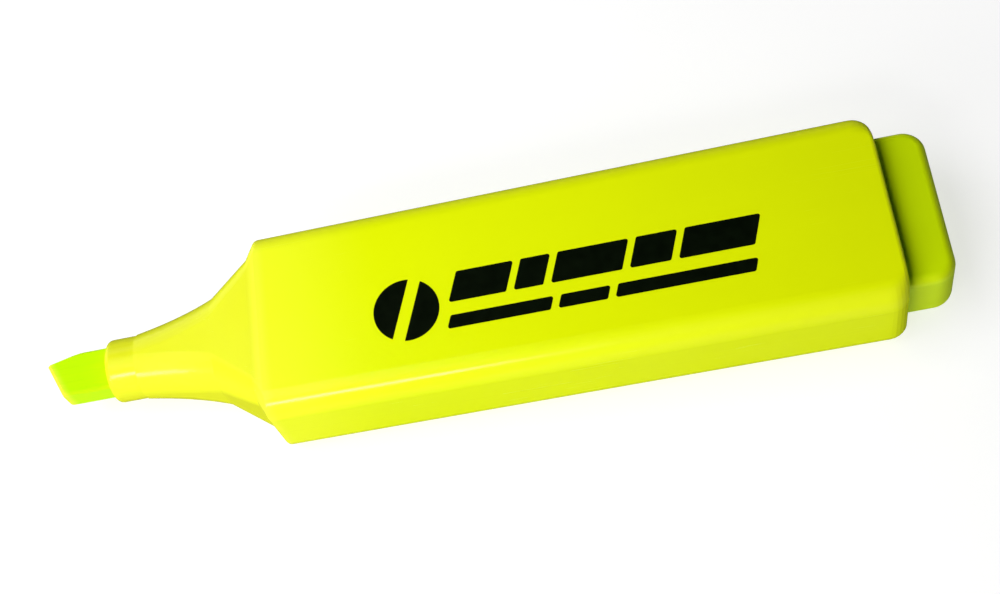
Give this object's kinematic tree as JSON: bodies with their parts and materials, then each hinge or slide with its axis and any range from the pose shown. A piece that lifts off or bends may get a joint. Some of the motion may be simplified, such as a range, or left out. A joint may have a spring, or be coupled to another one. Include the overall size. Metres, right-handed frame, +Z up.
{
  "type": "highlighter",
  "caption": "Uncapped flat highlighter pen: moulded shell with flared nose, chisel felt nib, ink reservoir in film, and rear end plug with posting boss.",
  "frame": {"origin": "under the middle of the whole pen, on the surface its back broad face rests on", "axes": "+X along the pen from the nib to the end plug, +Z up through the printed broad face, +Y across its width"},
  "size_m": [0.1106, 0.0254, 0.013],
  "materials": {
    "body_plastic": "glossy fluorescent yellow polypropylene",
    "plug_plastic": "satin yellow-green polypropylene",
    "nib_felt": "ink-soaked bonded fibre",
    "reservoir_fibre": "ink-soaked bundled fibre",
    "film": "thin clear film",
    "print_ink": "satin black pad-printed ink"
  },
  "bodies": {
    "root": {"body_shell": "body_plastic", "end_plug": "plug_plastic", "chisel_nib": "nib_felt", "ink_reservoir": "reservoir_fibre", "reservoir_film": "film"}
  },
  "joints": []
}
